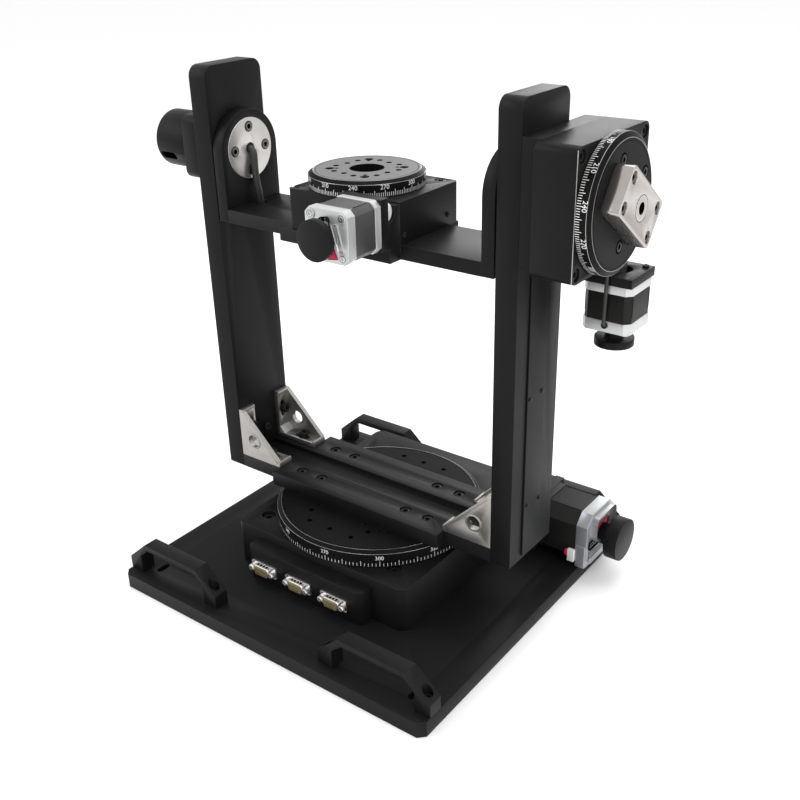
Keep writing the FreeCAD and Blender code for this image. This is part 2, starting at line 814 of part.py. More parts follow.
def build_cradle(axis_up, clamp_end):
    """The tilting frame: floor plate, round-topped end plates and the two trunnions."""
    inside = cradle.inside / 2
    half_width = cradle.end_width / 2
    low = axis_up - cradle.drop
    floor_top = low + cradle.floor_thick
    floor = Piece("cradle_floor")
    floor.pad("XY", low, floor_top, lambda page: cross(
        page, inside, cradle.pad_length / 2, cradle.pad_width / 2, half_width))
    floor.cut("XY", floor_top - cradle.cable_hole_depth, floor_top, lambda page: circle(
        page, -cradle.cable_hole_across, cradle.cable_hole_offset, cradle.cable_hole_radius))
    for side, name, bore in ((-1, "left", cradle.left_tube), (1, "right", cradle.right_shaft)):
        end = Piece(f"{name}_end_plate")
        near, far = side * inside, side * (inside + cradle.end_thick)
        first, last = (far, near) if side < 0 else (near, far)
        end.pad("YZ", first, last, lambda page: rectangle(page, -half_width, half_width, low, axis_up))
        end.pad("YZ", first, last, lambda page: circle(page, 0, axis_up, half_width))
        step = side * (inside + cradle.flange_thick)
        first, last = (step, near) if side < 0 else (near, step)
        end.cut("YZ", first, last, lambda page: circle(
            page, 0, axis_up, cradle.flange_radius + fit.press))
        first, last = (far, step) if side < 0 else (step, far)
        end.cut("YZ", first, last, lambda page: circle(page, 0, axis_up, bore + fit.press))

    left_end = yoke.span / 2 + yoke.arm_thick + slip.tube_end
    left = Piece("left_trunnion", Spot(-inside, 0, axis_up, Rotation(Vector(0, 1, 0), -90)))
    left_length = left_end - inside
    left.spin([
        (0, -cradle.flange_proud),
        (cradle.flange_radius, -cradle.flange_proud),
        (cradle.flange_radius, cradle.flange_thick),
        (cradle.left_tube, cradle.flange_thick),
        (cradle.left_tube, left_length),
        (0, left_length),
    ])
    left.cut("XY", -cradle.flange_proud, cradle.cable_bore_depth, lambda page: circle(
        page, 0, 0, cradle.cable_bore))
    right = Piece("right_trunnion", Spot(inside, 0, axis_up, Rotation(Vector(0, 1, 0), 90)))
    right_length = clamp_end - inside
    right.spin([
        (0, -cradle.flange_proud),
        (cradle.flange_radius, -cradle.flange_proud),
        (cradle.flange_radius, cradle.flange_thick),
        (cradle.right_shaft, cradle.flange_thick),
        (cradle.right_shaft, right_length),
        (0, right_length),
    ])
    right.cut("XY", right_length - cradle.shaft_centre_depth, right_length, lambda page: circle(
        page, 0, 0, cradle.shaft_centre_bore))


def build_slip_ring(axis_up):
    """The left bearing, the block outside the arm, the slip ring and its cover."""
    outside = yoke.span / 2 + yoke.arm_thick
    turn = Rotation(Vector(0, 1, 0), -90)
    bearing = Piece("left_bearing", Spot(-yoke.span / 2, 0, axis_up, turn))
    inner = cradle.left_tube + fit.bearing
    bearing.spin([
        (inner, 0),
        (slip.bearing_radius, 0),
        (slip.bearing_radius, yoke.arm_thick),
        (inner, yoke.arm_thick),
    ])
    spot = Spot(-outside, 0, axis_up, turn)
    half = slip.block_side / 2
    block = Piece("slip_ring_block", spot)
    block.pad("XY", 0, slip.block_thick, lambda page: rectangle(page, -half, half, -half, half))
    block.dress("Fillet", slip.block_corner, upright)
    block.cut("XY", 0, slip.block_thick, lambda page: circle(page, 0, 0, slip.block_bore))
    end = slip.block_thick + slip.cover_length
    cover = Piece("slip_ring_cover", spot)
    cover.spin([
        (slip.cover_radius - slip.cover_wall, slip.block_thick),
        (slip.cover_radius, slip.block_thick),
        (slip.cover_radius, end - slip.cover_round),
        (slip.cover_radius - slip.cover_round, end),
        (0, end),
        (0, end - slip.cover_wall),
        (slip.cover_radius - slip.cover_wall, end - slip.cover_wall),
    ])
    slot_start = slip.block_thick + slip.slot_start
    cover.cut("XZ", -slip.cover_radius, -slip.capsule_radius - fit.side, lambda page: slot(
        page, -slip.slot_below, slot_start, slot_start + slip.slot_travel, slip.slot_width / 2))
    capsule_start = end - slip.cover_wall - slip.capsule_length
    capsule = Piece("slip_ring_capsule", spot)
    capsule.pad("XY", capsule_start, end - slip.cover_wall, lambda page: circle(
        page, 0, 0, slip.capsule_radius))


def build_clamp(spot):
    """The block that grips the right trunnion and bolts it to the elevation table."""
    clamp = Piece("shaft_clamp", spot)
    half_length = tilt.clamp_length / 2
    half_width = tilt.clamp_width / 2
    clamp.pad("XY", 0, tilt.clamp_thick, lambda page: rectangle(
        page, -half_length, half_length, -half_width, half_width))
    clamp.dress("Fillet", tilt.clamp_corner, upright)
    clamp.cut("XY", 0, tilt.clamp_thick, lambda page: circle(
        page, 0, 0, cradle.right_shaft + fit.press))

    def bolt_heads(page):
        for side in (-1, 1):
            for end in (-1, 1):
                circle(page, side * tilt.clamp_bolt_along / 2, end * tilt.clamp_bolt_across / 2,
                       tilt.clamp_bolt_head / 2)

    clamp.cut("XY", tilt.clamp_thick - tilt.clamp_bolt_seat, tilt.clamp_thick, bolt_heads)


def build_adapter(axis_up):
    """The block that carries the elevation stage on the right arm."""
    outside = yoke.span / 2 + yoke.arm_thick
    adapter = Piece("elevation_adapter")
    adapter.pad("YZ", outside, outside + tilt.adapter_thick, lambda page: rectangle(
        page, -tilt.adapter_front, tilt.adapter_back,
        axis_up - tilt.adapter_down, axis_up + tilt.adapter_up))
    adapter.cut("YZ", outside, outside + tilt.adapter_thick, lambda page: circle(
        page, 0, axis_up, tilt.adapter_bore))


def build_cord(label, radius, points):
    """A round cord along straight runs that are joined by tangent arcs."""
    radius = radius.number
    points = [Vector(*(as_size(size).number for size in point)) for point in points]
    edges = []
    start = points[0]
    for index in range(1, len(points) - 1):
        before, corner, after = points[index - 1:index + 2]
        back = (before - corner).normalize()
        ahead = (after - corner).normalize()
        half_turn = (math.pi - back.getAngle(ahead)) / 2
        reach = 0.45 * min((before - corner).Length, (after - corner).Length)
        bend = reach / math.tan(half_turn)
        print(f"{label} bend {index}: radius {bend:.1f}, turn {math.degrees(2 * half_turn):.0f}")
        entry = corner + back * reach
        leave = corner + ahead * reach
        inward = (back + ahead).normalize()
        middle = corner + inward * (bend / math.cos(half_turn) - bend)
        edges.append(Part.LineSegment(start, entry).toShape())
        edges.append(Part.Arc(entry, middle, leave).toShape())
        start = leave
    edges.append(Part.LineSegment(start, points[-1]).toShape())
    path = Part.Wire(edges)
    ring = Part.Wire(Part.makeCircle(radius, points[0], points[1] - points[0]))
    tube = path.makePipeShell([ring], True, True)
    expected = math.pi * radius ** 2 * path.Length
    if abs(tube.Volume - expected) > 0.01 * expected:
        raise ValueError(f"{label} has volume {tube.Volume:.1f}, not {expected:.1f}")
    cord = doc.addObject("Part::Feature", label)
    cord.Label = label
    cord.Shape = tube
    pieces.append(cord)


def build_cradle_cable(axis_up):
    """The cable out of the left trunnion's bore, down to its hole in the cradle's floor."""
    face = -cradle.inside / 2
    floor_top = axis_up - cradle.drop + cradle.floor_thick
    hole = -cradle.cable_hole_across
    build_cord("cradle_cable", cradle.cable_radius, [
        (face - cradle.cable_bore_depth, 0, axis_up),
        (face + cradle.cable_out, 0, axis_up),
        (face + cradle.cable_out, -cradle.cable_sway, axis_up - cradle.cable_bow),
        (hole, cradle.cable_hole_offset, floor_top - cradle.cable_hole_depth + cradle.cable_end_gap),
    ])


def build_motor_lead(axis_up, stage_back):
    """The elevation motor's lead, from its rear cap up into the bottom of the stage's housing."""
    across = stage_back + tilt.lead_across
    face = elevation.worm_offset - elevation.motor_side / 2
    exit_up = axis_up - elevation.motor_plane - elevation.motor_length + tilt.lead_exit
    housing_bottom = axis_up - elevation.front
    build_cord("elevation_motor_lead", tilt.lead_radius, [
        (across, face + 2 * tilt.lead_side, exit_up),
        (across, face - tilt.lead_side, exit_up),
        (across + tilt.lead_lean, face - tilt.lead_side, housing_bottom + tilt.lead_seat),
    ])


def build_all():
    build_base()
    azimuth_spot = Spot(0, 0, base.thick, Rotation(Z_AXIS, 90))
    azimuth_top = base.thick + build_stage("azimuth", azimuth, azimuth_spot)
    build_ports(azimuth.left)
    axis_up = azimuth_top + yoke.axis_height
    build_yoke(azimuth_top, axis_up)
    outside = yoke.span / 2 + yoke.arm_thick
    build_adapter(axis_up)
    stage_back = outside + tilt.adapter_thick
    elevation_spot = Spot(stage_back, 0, axis_up, Rotation(Vector(1, 1, 1), 120))
    elevation_top = build_stage("elevation", elevation, elevation_spot)
    clamp_end = stage_back + elevation_top + tilt.clamp_thick
    build_clamp(elevation_spot.at(0, 0, elevation_top, Rotation(Z_AXIS, CLAMP_ANGLE)))
    build_cradle(axis_up, clamp_end)
    build_slip_ring(axis_up)
    top_floor = axis_up - cradle.drop + cradle.floor_thick
    build_stage("top", top, Spot(0, 0, top_floor))
    build_cradle_cable(axis_up)
    build_motor_lead(axis_up, stage_back)


def write_all():
    doc.recompute()
    for item in doc.Objects:
        if "Invalid" in item.State or "Error" in item.State:
            raise ValueError(f"{item.Label} failed: {item.State}")
    os.makedirs("parts", exist_ok=True)
    for piece in pieces:
        shape = piece.Shape
        if shape.isNull() or not shape.isValid():
            raise ValueError(f"{piece.Label} has no valid shape")
        shape.exportStep(os.path.join("parts", f"{piece.Label}.step"))
    print(f"{len(pieces)} sub-parts written")


build_all()
write_all()
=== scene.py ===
import bpy
import math
from mathutils import Matrix, Vector


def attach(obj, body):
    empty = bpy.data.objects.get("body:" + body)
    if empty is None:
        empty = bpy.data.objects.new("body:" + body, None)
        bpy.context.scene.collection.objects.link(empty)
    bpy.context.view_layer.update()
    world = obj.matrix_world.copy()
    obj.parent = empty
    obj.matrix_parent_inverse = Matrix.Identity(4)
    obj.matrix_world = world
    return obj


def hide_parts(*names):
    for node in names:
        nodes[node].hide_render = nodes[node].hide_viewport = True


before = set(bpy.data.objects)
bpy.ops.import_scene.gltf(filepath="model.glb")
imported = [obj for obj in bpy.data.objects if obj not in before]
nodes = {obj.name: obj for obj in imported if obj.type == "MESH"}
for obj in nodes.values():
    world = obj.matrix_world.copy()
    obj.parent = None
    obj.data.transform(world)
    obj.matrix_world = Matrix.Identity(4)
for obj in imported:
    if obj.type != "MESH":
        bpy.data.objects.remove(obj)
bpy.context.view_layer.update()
mm = 0.001

# The bench: a plain pale sheet, a soft white sky with four area lamps, and the camera that
# looks down on the stage from its front right corner.
camera_place = (0.53757, -0.66533, 0.59851)
camera_right = Vector((0.801, 0.5982, -0.0234)).normalized()
camera_back = camera_right.cross(Vector((-0.2472, 0.3661, 0.8972))).normalized()
camera_up = camera_back.cross(camera_right)
camera_data = bpy.data.cameras.new("camera")
camera_data.sensor_width = 36
camera_data.lens = 45.64
camera = bpy.data.objects.new("camera", camera_data)
bpy.context.scene.collection.objects.link(camera)
camera_turn = Matrix((camera_right, camera_up, camera_back)).transposed().to_4x4()
camera.matrix_world = Matrix.Translation(camera_place) @ camera_turn
bpy.context.scene.camera = camera

sheet_drop = 0.4 * mm
bpy.ops.object.select_all(action="DESELECT")
bpy.ops.mesh.primitive_plane_add(size=30, location=(0, 0, 0))
floor = bpy.context.object
floor.name = "bench_sheet"
floor.location.z = -sheet_drop
paper = bpy.data.materials.new("bench_sheet")
paper.use_nodes = True
paper_shader = paper.node_tree.nodes["Principled BSDF"]
paper_shader.inputs["Base Color"].default_value = (0.98, 0.98, 0.98, 1)
paper_shader.inputs["Roughness"].default_value = 0.9
floor.data.materials.append(paper)

world = bpy.data.worlds.new("studio")
bpy.context.scene.world = world
world.use_nodes = True
world.node_tree.nodes["Background"].inputs["Color"].default_value = (1, 1, 1, 1)
world.node_tree.nodes["Background"].inputs["Strength"].default_value = 1.0
bpy.context.scene.view_settings.view_transform = "Standard"

lamps = {
    "window_left": {"place": (-1.3, -1.2, 1.5), "aim": (0, 0, 0.25), "size": (1.2, 1.2), "watts": 14},
    "window_right": {"place": (1.7, -0.5, 1.1), "aim": (0, 0, 0.25), "size": (1.0, 1.4), "watts": 12},
    "ceiling": {"place": (0.2, 0.5, 1.9), "aim": (0, 0, 0.2), "size": (1.6, 1.6), "watts": 14},
    "low_card": {"place": (-0.9, 2.24, 0.97), "aim": (0.2, 0, 0.45), "size": (0.8, 0.26), "watts": 8},
}
for name, lamp in lamps.items():
    light = bpy.data.lights.new(name, "AREA")
    light.shape = "RECTANGLE"
    light.size, light.size_y = lamp["size"]
    light.energy = lamp["watts"]
    holder = bpy.data.objects.new(name, light)
    bpy.context.scene.collection.objects.link(holder)
    holder.location = lamp["place"]
    holder.rotation_euler = (Vector(lamp["aim"]) - holder.location).to_track_quat("-Z", "Y").to_euler()


# Base plate: aluminium plate, milled, bead blasted and anodised black. The same finish is on
# the handles, housings, arms, cradle, motor mounts and hand knobs, so its material is made here.
def new_finish(name):
    """A material, with its tree of nodes and its surface shader."""
    made = bpy.data.materials.new(name)
    made.use_nodes = True
    return made, made.node_tree, made.node_tree.nodes["Principled BSDF"]


def noise(tree, scale, detail):
    """Clouds that sit still on the solid, with the scale's number of them to a metre."""
    place = tree.nodes.new("ShaderNodeTexCoord")
    clouds = tree.nodes.new("ShaderNodeTexNoise")
    clouds.inputs["Scale"].default_value = scale
    clouds.inputs["Detail"].default_value = detail
    tree.links.new(place.outputs["Object"], clouds.inputs["Vector"])
    return clouds.outputs["Fac"]


def shades(tree, amount, dark, light):
    """A colour that goes from dark to light with the amount."""
    mix = tree.nodes.new("ShaderNodeMix")
    mix.data_type = "RGBA"
    mix.inputs[6].default_value = (*dark, 1)
    mix.inputs[7].default_value = (*light, 1)
    tree.links.new(amount, mix.inputs[0])
    return mix


def span(tree, amount, low, high):
    """A number that goes from low to high with the amount."""
    scaled = tree.nodes.new("ShaderNodeMapRange")
    scaled.inputs["To Min"].default_value = low
    scaled.inputs["To Max"].default_value = high
    tree.links.new(amount, scaled.inputs["Value"])
    return scaled


def relief(tree, height, strength, depth, under=None):
    """Bumps of the depth in millimetres, over the surface as it is or over other bumps."""
    bumps = tree.nodes.new("ShaderNodeBump")
    bumps.inputs["Strength"].default_value = strength
    bumps.inputs["Distance"].default_value = depth * mm
    tree.links.new(height, bumps.inputs["Height"])
    if under:
        tree.links.new(under, bumps.inputs["Normal"])
    return bumps.outputs["Normal"]


def anodised(name, colour, rough, grain=1900, tint=0.25, edge_glint_and_wear=0.16, shine=0.12, metal=0.1):
    """Black oxide skin on blasted metal: fine pits, slow cloudy colour, and pale edges that are a painted
    edge highlight along with edge wear.
    """
    made, tree, shader = new_finish(name)
    shader.inputs["Metallic"].default_value = metal
    shader.inputs["Specular IOR Level"].default_value = shine
    pits = noise(tree, scale=grain, detail=3)
    cloud = noise(tree, scale=14, detail=5)
    dark = [channel * (1 - tint) for channel in colour]
    light = [channel * (1 + tint) for channel in colour]
    skin = shades(tree, cloud, dark, light)
    rounded = tree.nodes.new("ShaderNodeBevel")
    rounded.samples = 4
    rounded.inputs["Radius"].default_value = 0.5 * mm
    facing = tree.nodes.new("ShaderNodeNewGeometry")
    edge = tree.nodes.new("ShaderNodeVectorMath")
    edge.operation = "DOT_PRODUCT"
    tree.links.new(rounded.outputs["Normal"], edge.inputs[0])
    tree.links.new(facing.outputs["Normal"], edge.inputs[1])
    # Pale edges: a painted highlight on the broken edges, partly edge wear, masked where the rounded normal
    # turns away from the face's own.
    glint_and_wear_mask = span(tree, edge.outputs["Value"], low=0, high=0.35)
    glint_and_wear_mask.inputs["From Min"].default_value = 0.97
    glint_and_wear_mask.inputs["From Max"].default_value = 0.80
    shown = shades(tree, glint_and_wear_mask.outputs["Result"], dark, (edge_glint_and_wear, edge_glint_and_wear, edge_glint_and_wear * 1.04))
    tree.links.new(skin.outputs[2], shown.inputs[6])
    tree.links.new(shown.outputs[2], shader.inputs["Base Color"])
    gloss = span(tree, cloud, low=rough - 0.07, high=rough + 0.07)
    tree.links.new(gloss.outputs["Result"], shader.inputs["Roughness"])
    pitted = relief(tree, pits, strength=0.12, depth=0.05, under=rounded.outputs["Normal"])
    tree.links.new(pitted, shader.inputs["Normal"])
    return made


def dress(name, material, edge=0.35):
    """Gives a solid its finish, and breaks its sharp edges by a little, or splits them at nought."""
    solid = nodes[name]
    solid.data.materials.clear()
    solid.data.materials.append(material)
    for face in solid.data.polygons:
        face.use_smooth = True
        face.material_index = 0
    weld = solid.modifiers.new("weld", "WELD")
    weld.merge_threshold = 0.002 * mm
    if not edge:
        crisp = solid.modifiers.new("crisp", "EDGE_SPLIT")
        crisp.split_angle = math.radians(30)
        return
    flat = solid.modifiers.new("flat", "DECIMATE")
    flat.decimate_type = "DISSOLVE"
    flat.angle_limit = math.radians(0.8)
    round_over = solid.modifiers.new("round_over", "BEVEL")
    round_over.width = edge * mm
    round_over.segments = 2
    round_over.limit_method = "ANGLE"
    round_over.angle_limit = math.radians(32)
    round_over.harden_normals = True


thick_edge = 0.5
black = anodised("black_anodised", (0.007, 0.007, 0.0073), rough=0.47)
dress("base_plate", black, thick_edge)
for corner in ("front_left", "front_right", "rear_left", "rear_right"):
    dress(corner + "_handle", black, thick_edge)
for piece in ("azimuth_housing", "connector_box", "yoke_beam", "left_arm", "right_arm", "arm_duct_cover",
              "slip_ring_block", "slip_ring_cover", "elevation_adapter", "elevation_housing",
              "left_end_plate", "right_end_plate", "cradle_floor", "top_housing"):
    dress(piece, black)
stages = ("azimuth", "elevation", "top")
for stage in stages:
    dress(stage + "_motor_mount", black)
    dress(stage + "_knob", black)


# Graduated tables: turned discs, anodised black. The top stage's upper face is painted a lighter grey as a
# painted reflection of the bright room, while its rim and bore are still black.
# Both table finishes paint their edges very pale, a painted edge highlight along with wear.
polished = anodised("turned_anodised", (0.006, 0.006, 0.0063), rough=0.42, grain=1400, edge_glint_and_wear=0.9, shine=0.04)
reflection_painted = anodised("reflection_painted_anodised", (0.07, 0.071, 0.072), rough=0.36, grain=1400, edge_glint_and_wear=0.9, shine=1.0)
for stage in stages:
    dress(stage + "_table", polished, edge=0)
under_top_face = 396 * mm
top_table = nodes["top_table"]
top_table.data.materials.append(reflection_painted)
# Upward faces above the rim take the lighter grey of the painted reflection.
for face in top_table.data.polygons:
    face.material_index = 1 if face.normal.z > 0.9 and face.center.z > under_top_face else 0


# Bright metal: the brackets and motor caps are cast aluminium, the trunnion disc and shaft clamp
# are machined, the shafts and screws are steel, and the worm wheels are bronze.
def bright(name, colour, rough, grain, pits_depth, metal=0.9, sway=0.05):
    """Bare metal: pits of the given depth, and slow clouds in its colour and its gloss."""
    made, tree, shader = new_finish(name)
    shader.inputs["Metallic"].default_value = metal
    pits = noise(tree, scale=grain, detail=6)
    cloud = noise(tree, scale=60, detail=6)
    dark = [channel * 0.82 for channel in colour]
    light = [min(channel * 1.12, 1) for channel in colour]
    tree.links.new(shades(tree, cloud, dark, light).outputs[2], shader.inputs["Base Color"])
    gloss = span(tree, cloud, low=rough - sway, high=rough + sway)
    tree.links.new(gloss.outputs["Result"], shader.inputs["Roughness"])
    tree.links.new(relief(tree, pits, strength=0.35, depth=pits_depth), shader.inputs["Normal"])
    return made


cast = bright("cast_aluminium", (0.52, 0.53, 0.525), rough=0.36, grain=500, pits_depth=0.12, metal=0.5)
grey_cast = bright(
    "grey_cast_aluminium", (0.37, 0.385, 0.40), rough=0.33, grain=500, pits_depth=0.12, metal=0.6)
rough_cast = bright(
    "rough_cast_aluminium", (0.37, 0.355, 0.335), rough=0.38, grain=260, pits_depth=0.3, sway=0.1)
machined = bright("machined_aluminium", (0.43, 0.40, 0.38), rough=0.2, grain=1500, pits_depth=0.002)
disc = bright("faced_aluminium", (0.56, 0.54, 0.52), rough=0.34, grain=1500, pits_depth=0.04)
ground = bright("ground_steel", (0.5, 0.5, 0.5), rough=0.25, grain=2500, pits_depth=0.02)
burnished = bright("burnished_steel", (0.13, 0.13, 0.12), rough=0.3, grain=1500, pits_depth=0.03)
bronze = bright("bronze", (0.55, 0.33, 0.12), rough=0.3, grain=1500, pits_depth=0.03)
for side in ("left", "right"):
    for end in ("front", "rear"):
        dress(f"{side}_{end}_bracket", rough_cast, thick_edge)
dress("shaft_clamp", machined)
dress("left_trunnion", disc)
for piece in ("right_trunnion", "left_bearing", "signal_sockets"):
    dress(piece, ground)
cap_finish = {"azimuth": grey_cast, "elevation": cast, "top": cast}
for stage in stages:
    dress(stage + "_motor_caps", cap_finish[stage])
    dress(stage + "_worm", ground)
    dress(stage + "_motor_shaft", ground)
    dress(stage + "_coupling", machined)
    dress(stage + "_worm_wheel", bronze)


# Cords: the cradle's cable and the elevation motor's lead are in a dull black plastic sheath,
# and the slip ring's capsule is black as well.
sheath = anodised("cable_sheath", (0.030, 0.031, 0.028), rough=0.5, grain=700, tint=0.5, shine=0.4)
dress("cradle_cable", sheath)
dress("elevation_motor_lead", sheath)
dress("slip_ring_capsule", black)


# Screws: black socket head cap screws hold the handles, the beam and the three housings, and
# smaller ones the duct cover. Each has a turned head with a broken edge and a six-sided recess.
oxide = anodised("black_oxide", (0.012, 0.012, 0.013), rough=0.33, grain=2600)
# Near-black painted shade, laid as thin dark sheets in holes, grooves, gaps, seats and recesses where shade
# falls.
shadow = anodised("painted_shade", (0.0015, 0.0015, 0.0015), rough=0.8, grain=500, shine=0, metal=0)
smooth_below = math.radians(35)


def settle(piece, name, body, material, place=(0, 0, 0), axis=None, spin=0, spot=None):
    """Bakes a piece's place into its mesh, gives it its finish and lets it ride on its body."""
    turn = Vector(axis).to_track_quat("Z", "Y").to_matrix().to_4x4() if axis else Matrix()
    own = Matrix.Rotation(math.radians(spin), 4, "Z")
    seat = Matrix.Translation(Vector(place) * mm) @ turn @ own @ piece.matrix_basis
    piece.data.transform(spot @ seat if spot else seat)
    piece.matrix_basis = Matrix.Identity(4)
    piece.name = name
    piece.data.materials.clear()
    piece.data.materials.append(material)
    bpy.ops.object.select_all(action="DESELECT")
    piece.select_set(True)
    bpy.context.view_layer.objects.active = piece
    bpy.ops.object.shade_smooth_by_angle(angle=smooth_below)
    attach(piece, body)
    return piece


def open_at_faces(piece, wanted):
    """Opens the piece for editing with the wanted faces selected, and nothing else."""
    bpy.ops.object.mode_set(mode="EDIT")
    bpy.ops.mesh.select_mode(type="FACE")
    bpy.ops.mesh.select_all(action="DESELECT")
    bpy.ops.object.mode_set(mode="OBJECT")
    for face in piece.data.polygons:
        face.select = wanted(face)
    bpy.ops.object.mode_set(mode="EDIT")


def close():
    """Ends the editing of a piece that was opened at its faces."""
    bpy.ops.mesh.select_mode(type="VERT")
    bpy.ops.object.mode_set(mode="OBJECT")


def turned(radius, height, sides=40, edge=0, low=0):
    """A short cylinder standing on its local zero, its ends' edges broken by the given amount."""
    bpy.ops.object.select_all(action="DESELECT")
    bpy.ops.mesh.primitive_cylinder_add(
        vertices=sides, radius=radius * mm, depth=height * mm, location=(0, 0, (low + height / 2) * mm))
    bpy.ops.object.transform_apply(location=True)
    piece = bpy.context.object
    if edge:
        open_at_faces(piece, lambda face: abs(face.normal.z) > 0.9)
        bpy.ops.mesh.bevel(offset=edge * mm, segments=2, affect="EDGES")
        close()
    return piece


def carve(piece, tool):
    """Cuts the tool out of the piece and clears the tool away."""
    step = piece.modifiers.new("carve", "BOOLEAN")
    step.operation = "DIFFERENCE"
    step.object = tool
    bpy.ops.object.select_all(action="DESELECT")
    piece.select_set(True)
    bpy.context.view_layer.objects.active = piece
    bpy.ops.object.modifier_apply(modifier="carve")
    bpy.data.objects.remove(tool)
    return piece


key_turn = 17


def cap_screw(name, body, place, axis, radius, height, material=oxide, spin=key_turn):
    """A screw head with its seat at the place, and its recess a little over half as wide."""
    head = turned(radius, height, sides=36, edge=radius * 0.08)
    key = turned(radius * 0.56, height, sides=6, low=height * 0.4)
    return settle(carve(head, key), name, body, material, place, axis, spin=spin)


up = (0, 0, 1)
outward = (1, 0, 0)
inward = (-1, 0, 0)
frontward = (0, -1, 0)
# Each set: its body, its axis, the head's radius and height, the turn from head to head, the seats.
screw_sets = {
    "handle_screw": ("stand", up, 4.3, 5, 40, [
        (across, along, 23) for across in (-172, -70, 70, 172) for along in (-161.5, 161.5)]),
    "beam_screw": ("yoke", up, 4.9, 6, 25, [
        (across, along, 83) for across in (-77, -51.5, 51.5, 77) for along in (-26, 26)]),
    "azimuth_screw": ("stand", up, 6.2, 6, 20, [(-82, -72, 51), (72, -72, 51), (-82, 84, 51)]),
    "top_screw": ("cradle", up, 4.9, 6.6, 35, [(-43, -41, 377.5), (-43, 41, 377.5), (47, 41, 377.5)]),
    "elevation_screw": ("yoke", outward, 4.6, 5.5, 15, [(216, -44, 357), (216, -44, 441), (216, 55, 441)]),
}
for name, (body, axis, radius, height, turn_each, seats) in screw_sets.items():
    for number, seat in enumerate(seats):
        cap_screw(f"{name}_{number}", body, seat, axis, radius, height, spin=turn_each * number)
cap_screw("arm_tie_screw", "yoke", (-150, 1, 107), outward, radius=4.2, height=3)
for number, (height, along) in enumerate(((358.5, 32), (357, -31))):
    cap_screw(f"top_side_screw_{number}", "cradle", (60.6, along, height), outward, radius=2.3, height=1.2)
for number, (along, height) in enumerate(((-12, 231), (7.5, 232), (-10.6, 129), (10.2, 127))):
    cap_screw(f"duct_screw_{number}", "yoke", (171.5, along, height), outward, radius=1.9, height=0.9)


# Tilt axis: burnished screws hold the clamp and the trunnion disc, and black ones the shaft's flange and
# the elevation table. The clamp's bore shows the shaft's end in a bright collar, ringed by a dark groove of
# painted shade, with painted shade in the bore itself.
tilt_height = 399
clamp_face = 249
clamp_seat = 243
clamp_turn = math.radians(-36)
clamp_holes = [(along, across) for along in (-27, 27) for across in (-11.5, 11.5)]
for number, (along, across) in enumerate(clamp_holes):
    place = (
        clamp_seat,
        along * math.cos(clamp_turn) - across * math.sin(clamp_turn),
        tilt_height + along * math.sin(clamp_turn) + across * math.cos(clamp_turn),
    )
    cap_screw(f"clamp_screw_{number}", "cradle", place, outward, radius=4.2, height=4.6,
              material=burnished, spin=28 * number)
film = 0.05
film_low = -0.03
shaft_middle = (clamp_face, 0, tilt_height)
# The groove ring and the bore's disc are thin sheets of painted shade.
for name, wide, narrow, finish in (
    ("clamp_groove_shade", 9.9, 9.4, shadow),
    ("clamp_collar", 9.4, 8.2, ground),
    ("shaft_end", 8.2, 4.6, machined),
):
    ring = carve(turned(wide, film, sides=64, low=film_low), turned(narrow, 3, sides=64, low=-1))
    settle(ring, name, "cradle", finish, shaft_middle, outward)
settle(turned(4.6, film, low=film_low), "shaft_bore_shade", "cradle", shadow, shaft_middle, outward)
table_face = 234.5
table_seat = 233.5
recess_shade_height = 0.62
for number, (along, height) in enumerate(((33.8, 416.2), (-1.4, 368.5), (-3.9, 432.4))):
    # Each table screw sits in a dark seat of painted shade, with a dark hex of painted shade in its recess.
    settle(turned(5.4, 0.07, low=film_low), f"table_seat_{number}", "cradle", shadow,
           (table_face, along, height), outward)
    place = (table_seat, along, height)
    cap_screw(f"table_screw_{number}", "cradle", place, outward, radius=4, height=1.3)
    settle(turned(2.1, recess_shade_height, sides=6), f"table_socket_shade_{number}", "cradle", shadow,
           place, outward, spin=key_turn)
flange_bolt_circle = 19.5
trunnion_face = -136.42
trunnion_seat = -137.1
shaft_flange_seat = 137.1
for number in range(4):
    angle = math.radians(90 * number)
    along = flange_bolt_circle * math.cos(angle)
    height = tilt_height + flange_bolt_circle * math.sin(angle)
    # Each trunnion screw sits in a dark seat of painted shade, with a dark hex of painted shade in its
    # recess.
    settle(turned(4.9, 0.2, sides=36), f"trunnion_seat_{number}", "cradle", shadow,
           (trunnion_face, along, height), outward)
    place = (trunnion_seat, along, height)
    cap_screw(f"trunnion_screw_{number}", "cradle", place, outward, radius=4.3, height=1.3,
              material=burnished)
    settle(turned(2.3, recess_shade_height, sides=6), f"trunnion_socket_shade_{number}", "cradle", shadow,
           place, outward, spin=key_turn)
    place = (shaft_flange_seat, along, height)
    cap_screw(f"shaft_flange_screw_{number}", "cradle", place, inward, radius=4.3, height=1.3)


# Elevation housing: its front vertical edge carries a painted highlight, a thin bar of bright metal which
# shows as one thin bright line beside the table.
edge_foot = (222.75, -50.75, 351.5)
edge_length = 95
settle(turned(0.32, edge_length, sides=12), "housing_edge_highlight", "yoke", machined, edge_foot)


# Graduated rims: each table has a line every two degrees, a longer one every ten, and a
# number every thirty, engraved and filled with white paint.
ink, ink_tree, ink_shader = new_finish("white_paint")
ink_shade = shades(ink_tree, noise(ink_tree, scale=900, detail=2), (0.62, 0.62, 0.61), (0.85, 0.85, 0.84))
ink_tree.links.new(ink_shade.outputs[2], ink_shader.inputs["Base Color"])
ink_shader.inputs["Roughness"].default_value = 0.55
paint_proud = 0.03
line_width = 0.4
face_turn = 0.25
# Each row: the turn from line to line, and the heights above the rim's foot that it runs between.
line_rows = ((2, 0.2, 3.4), (10, 3.4, 5.2))
number_turn = 30
type_to_digit = 1.4


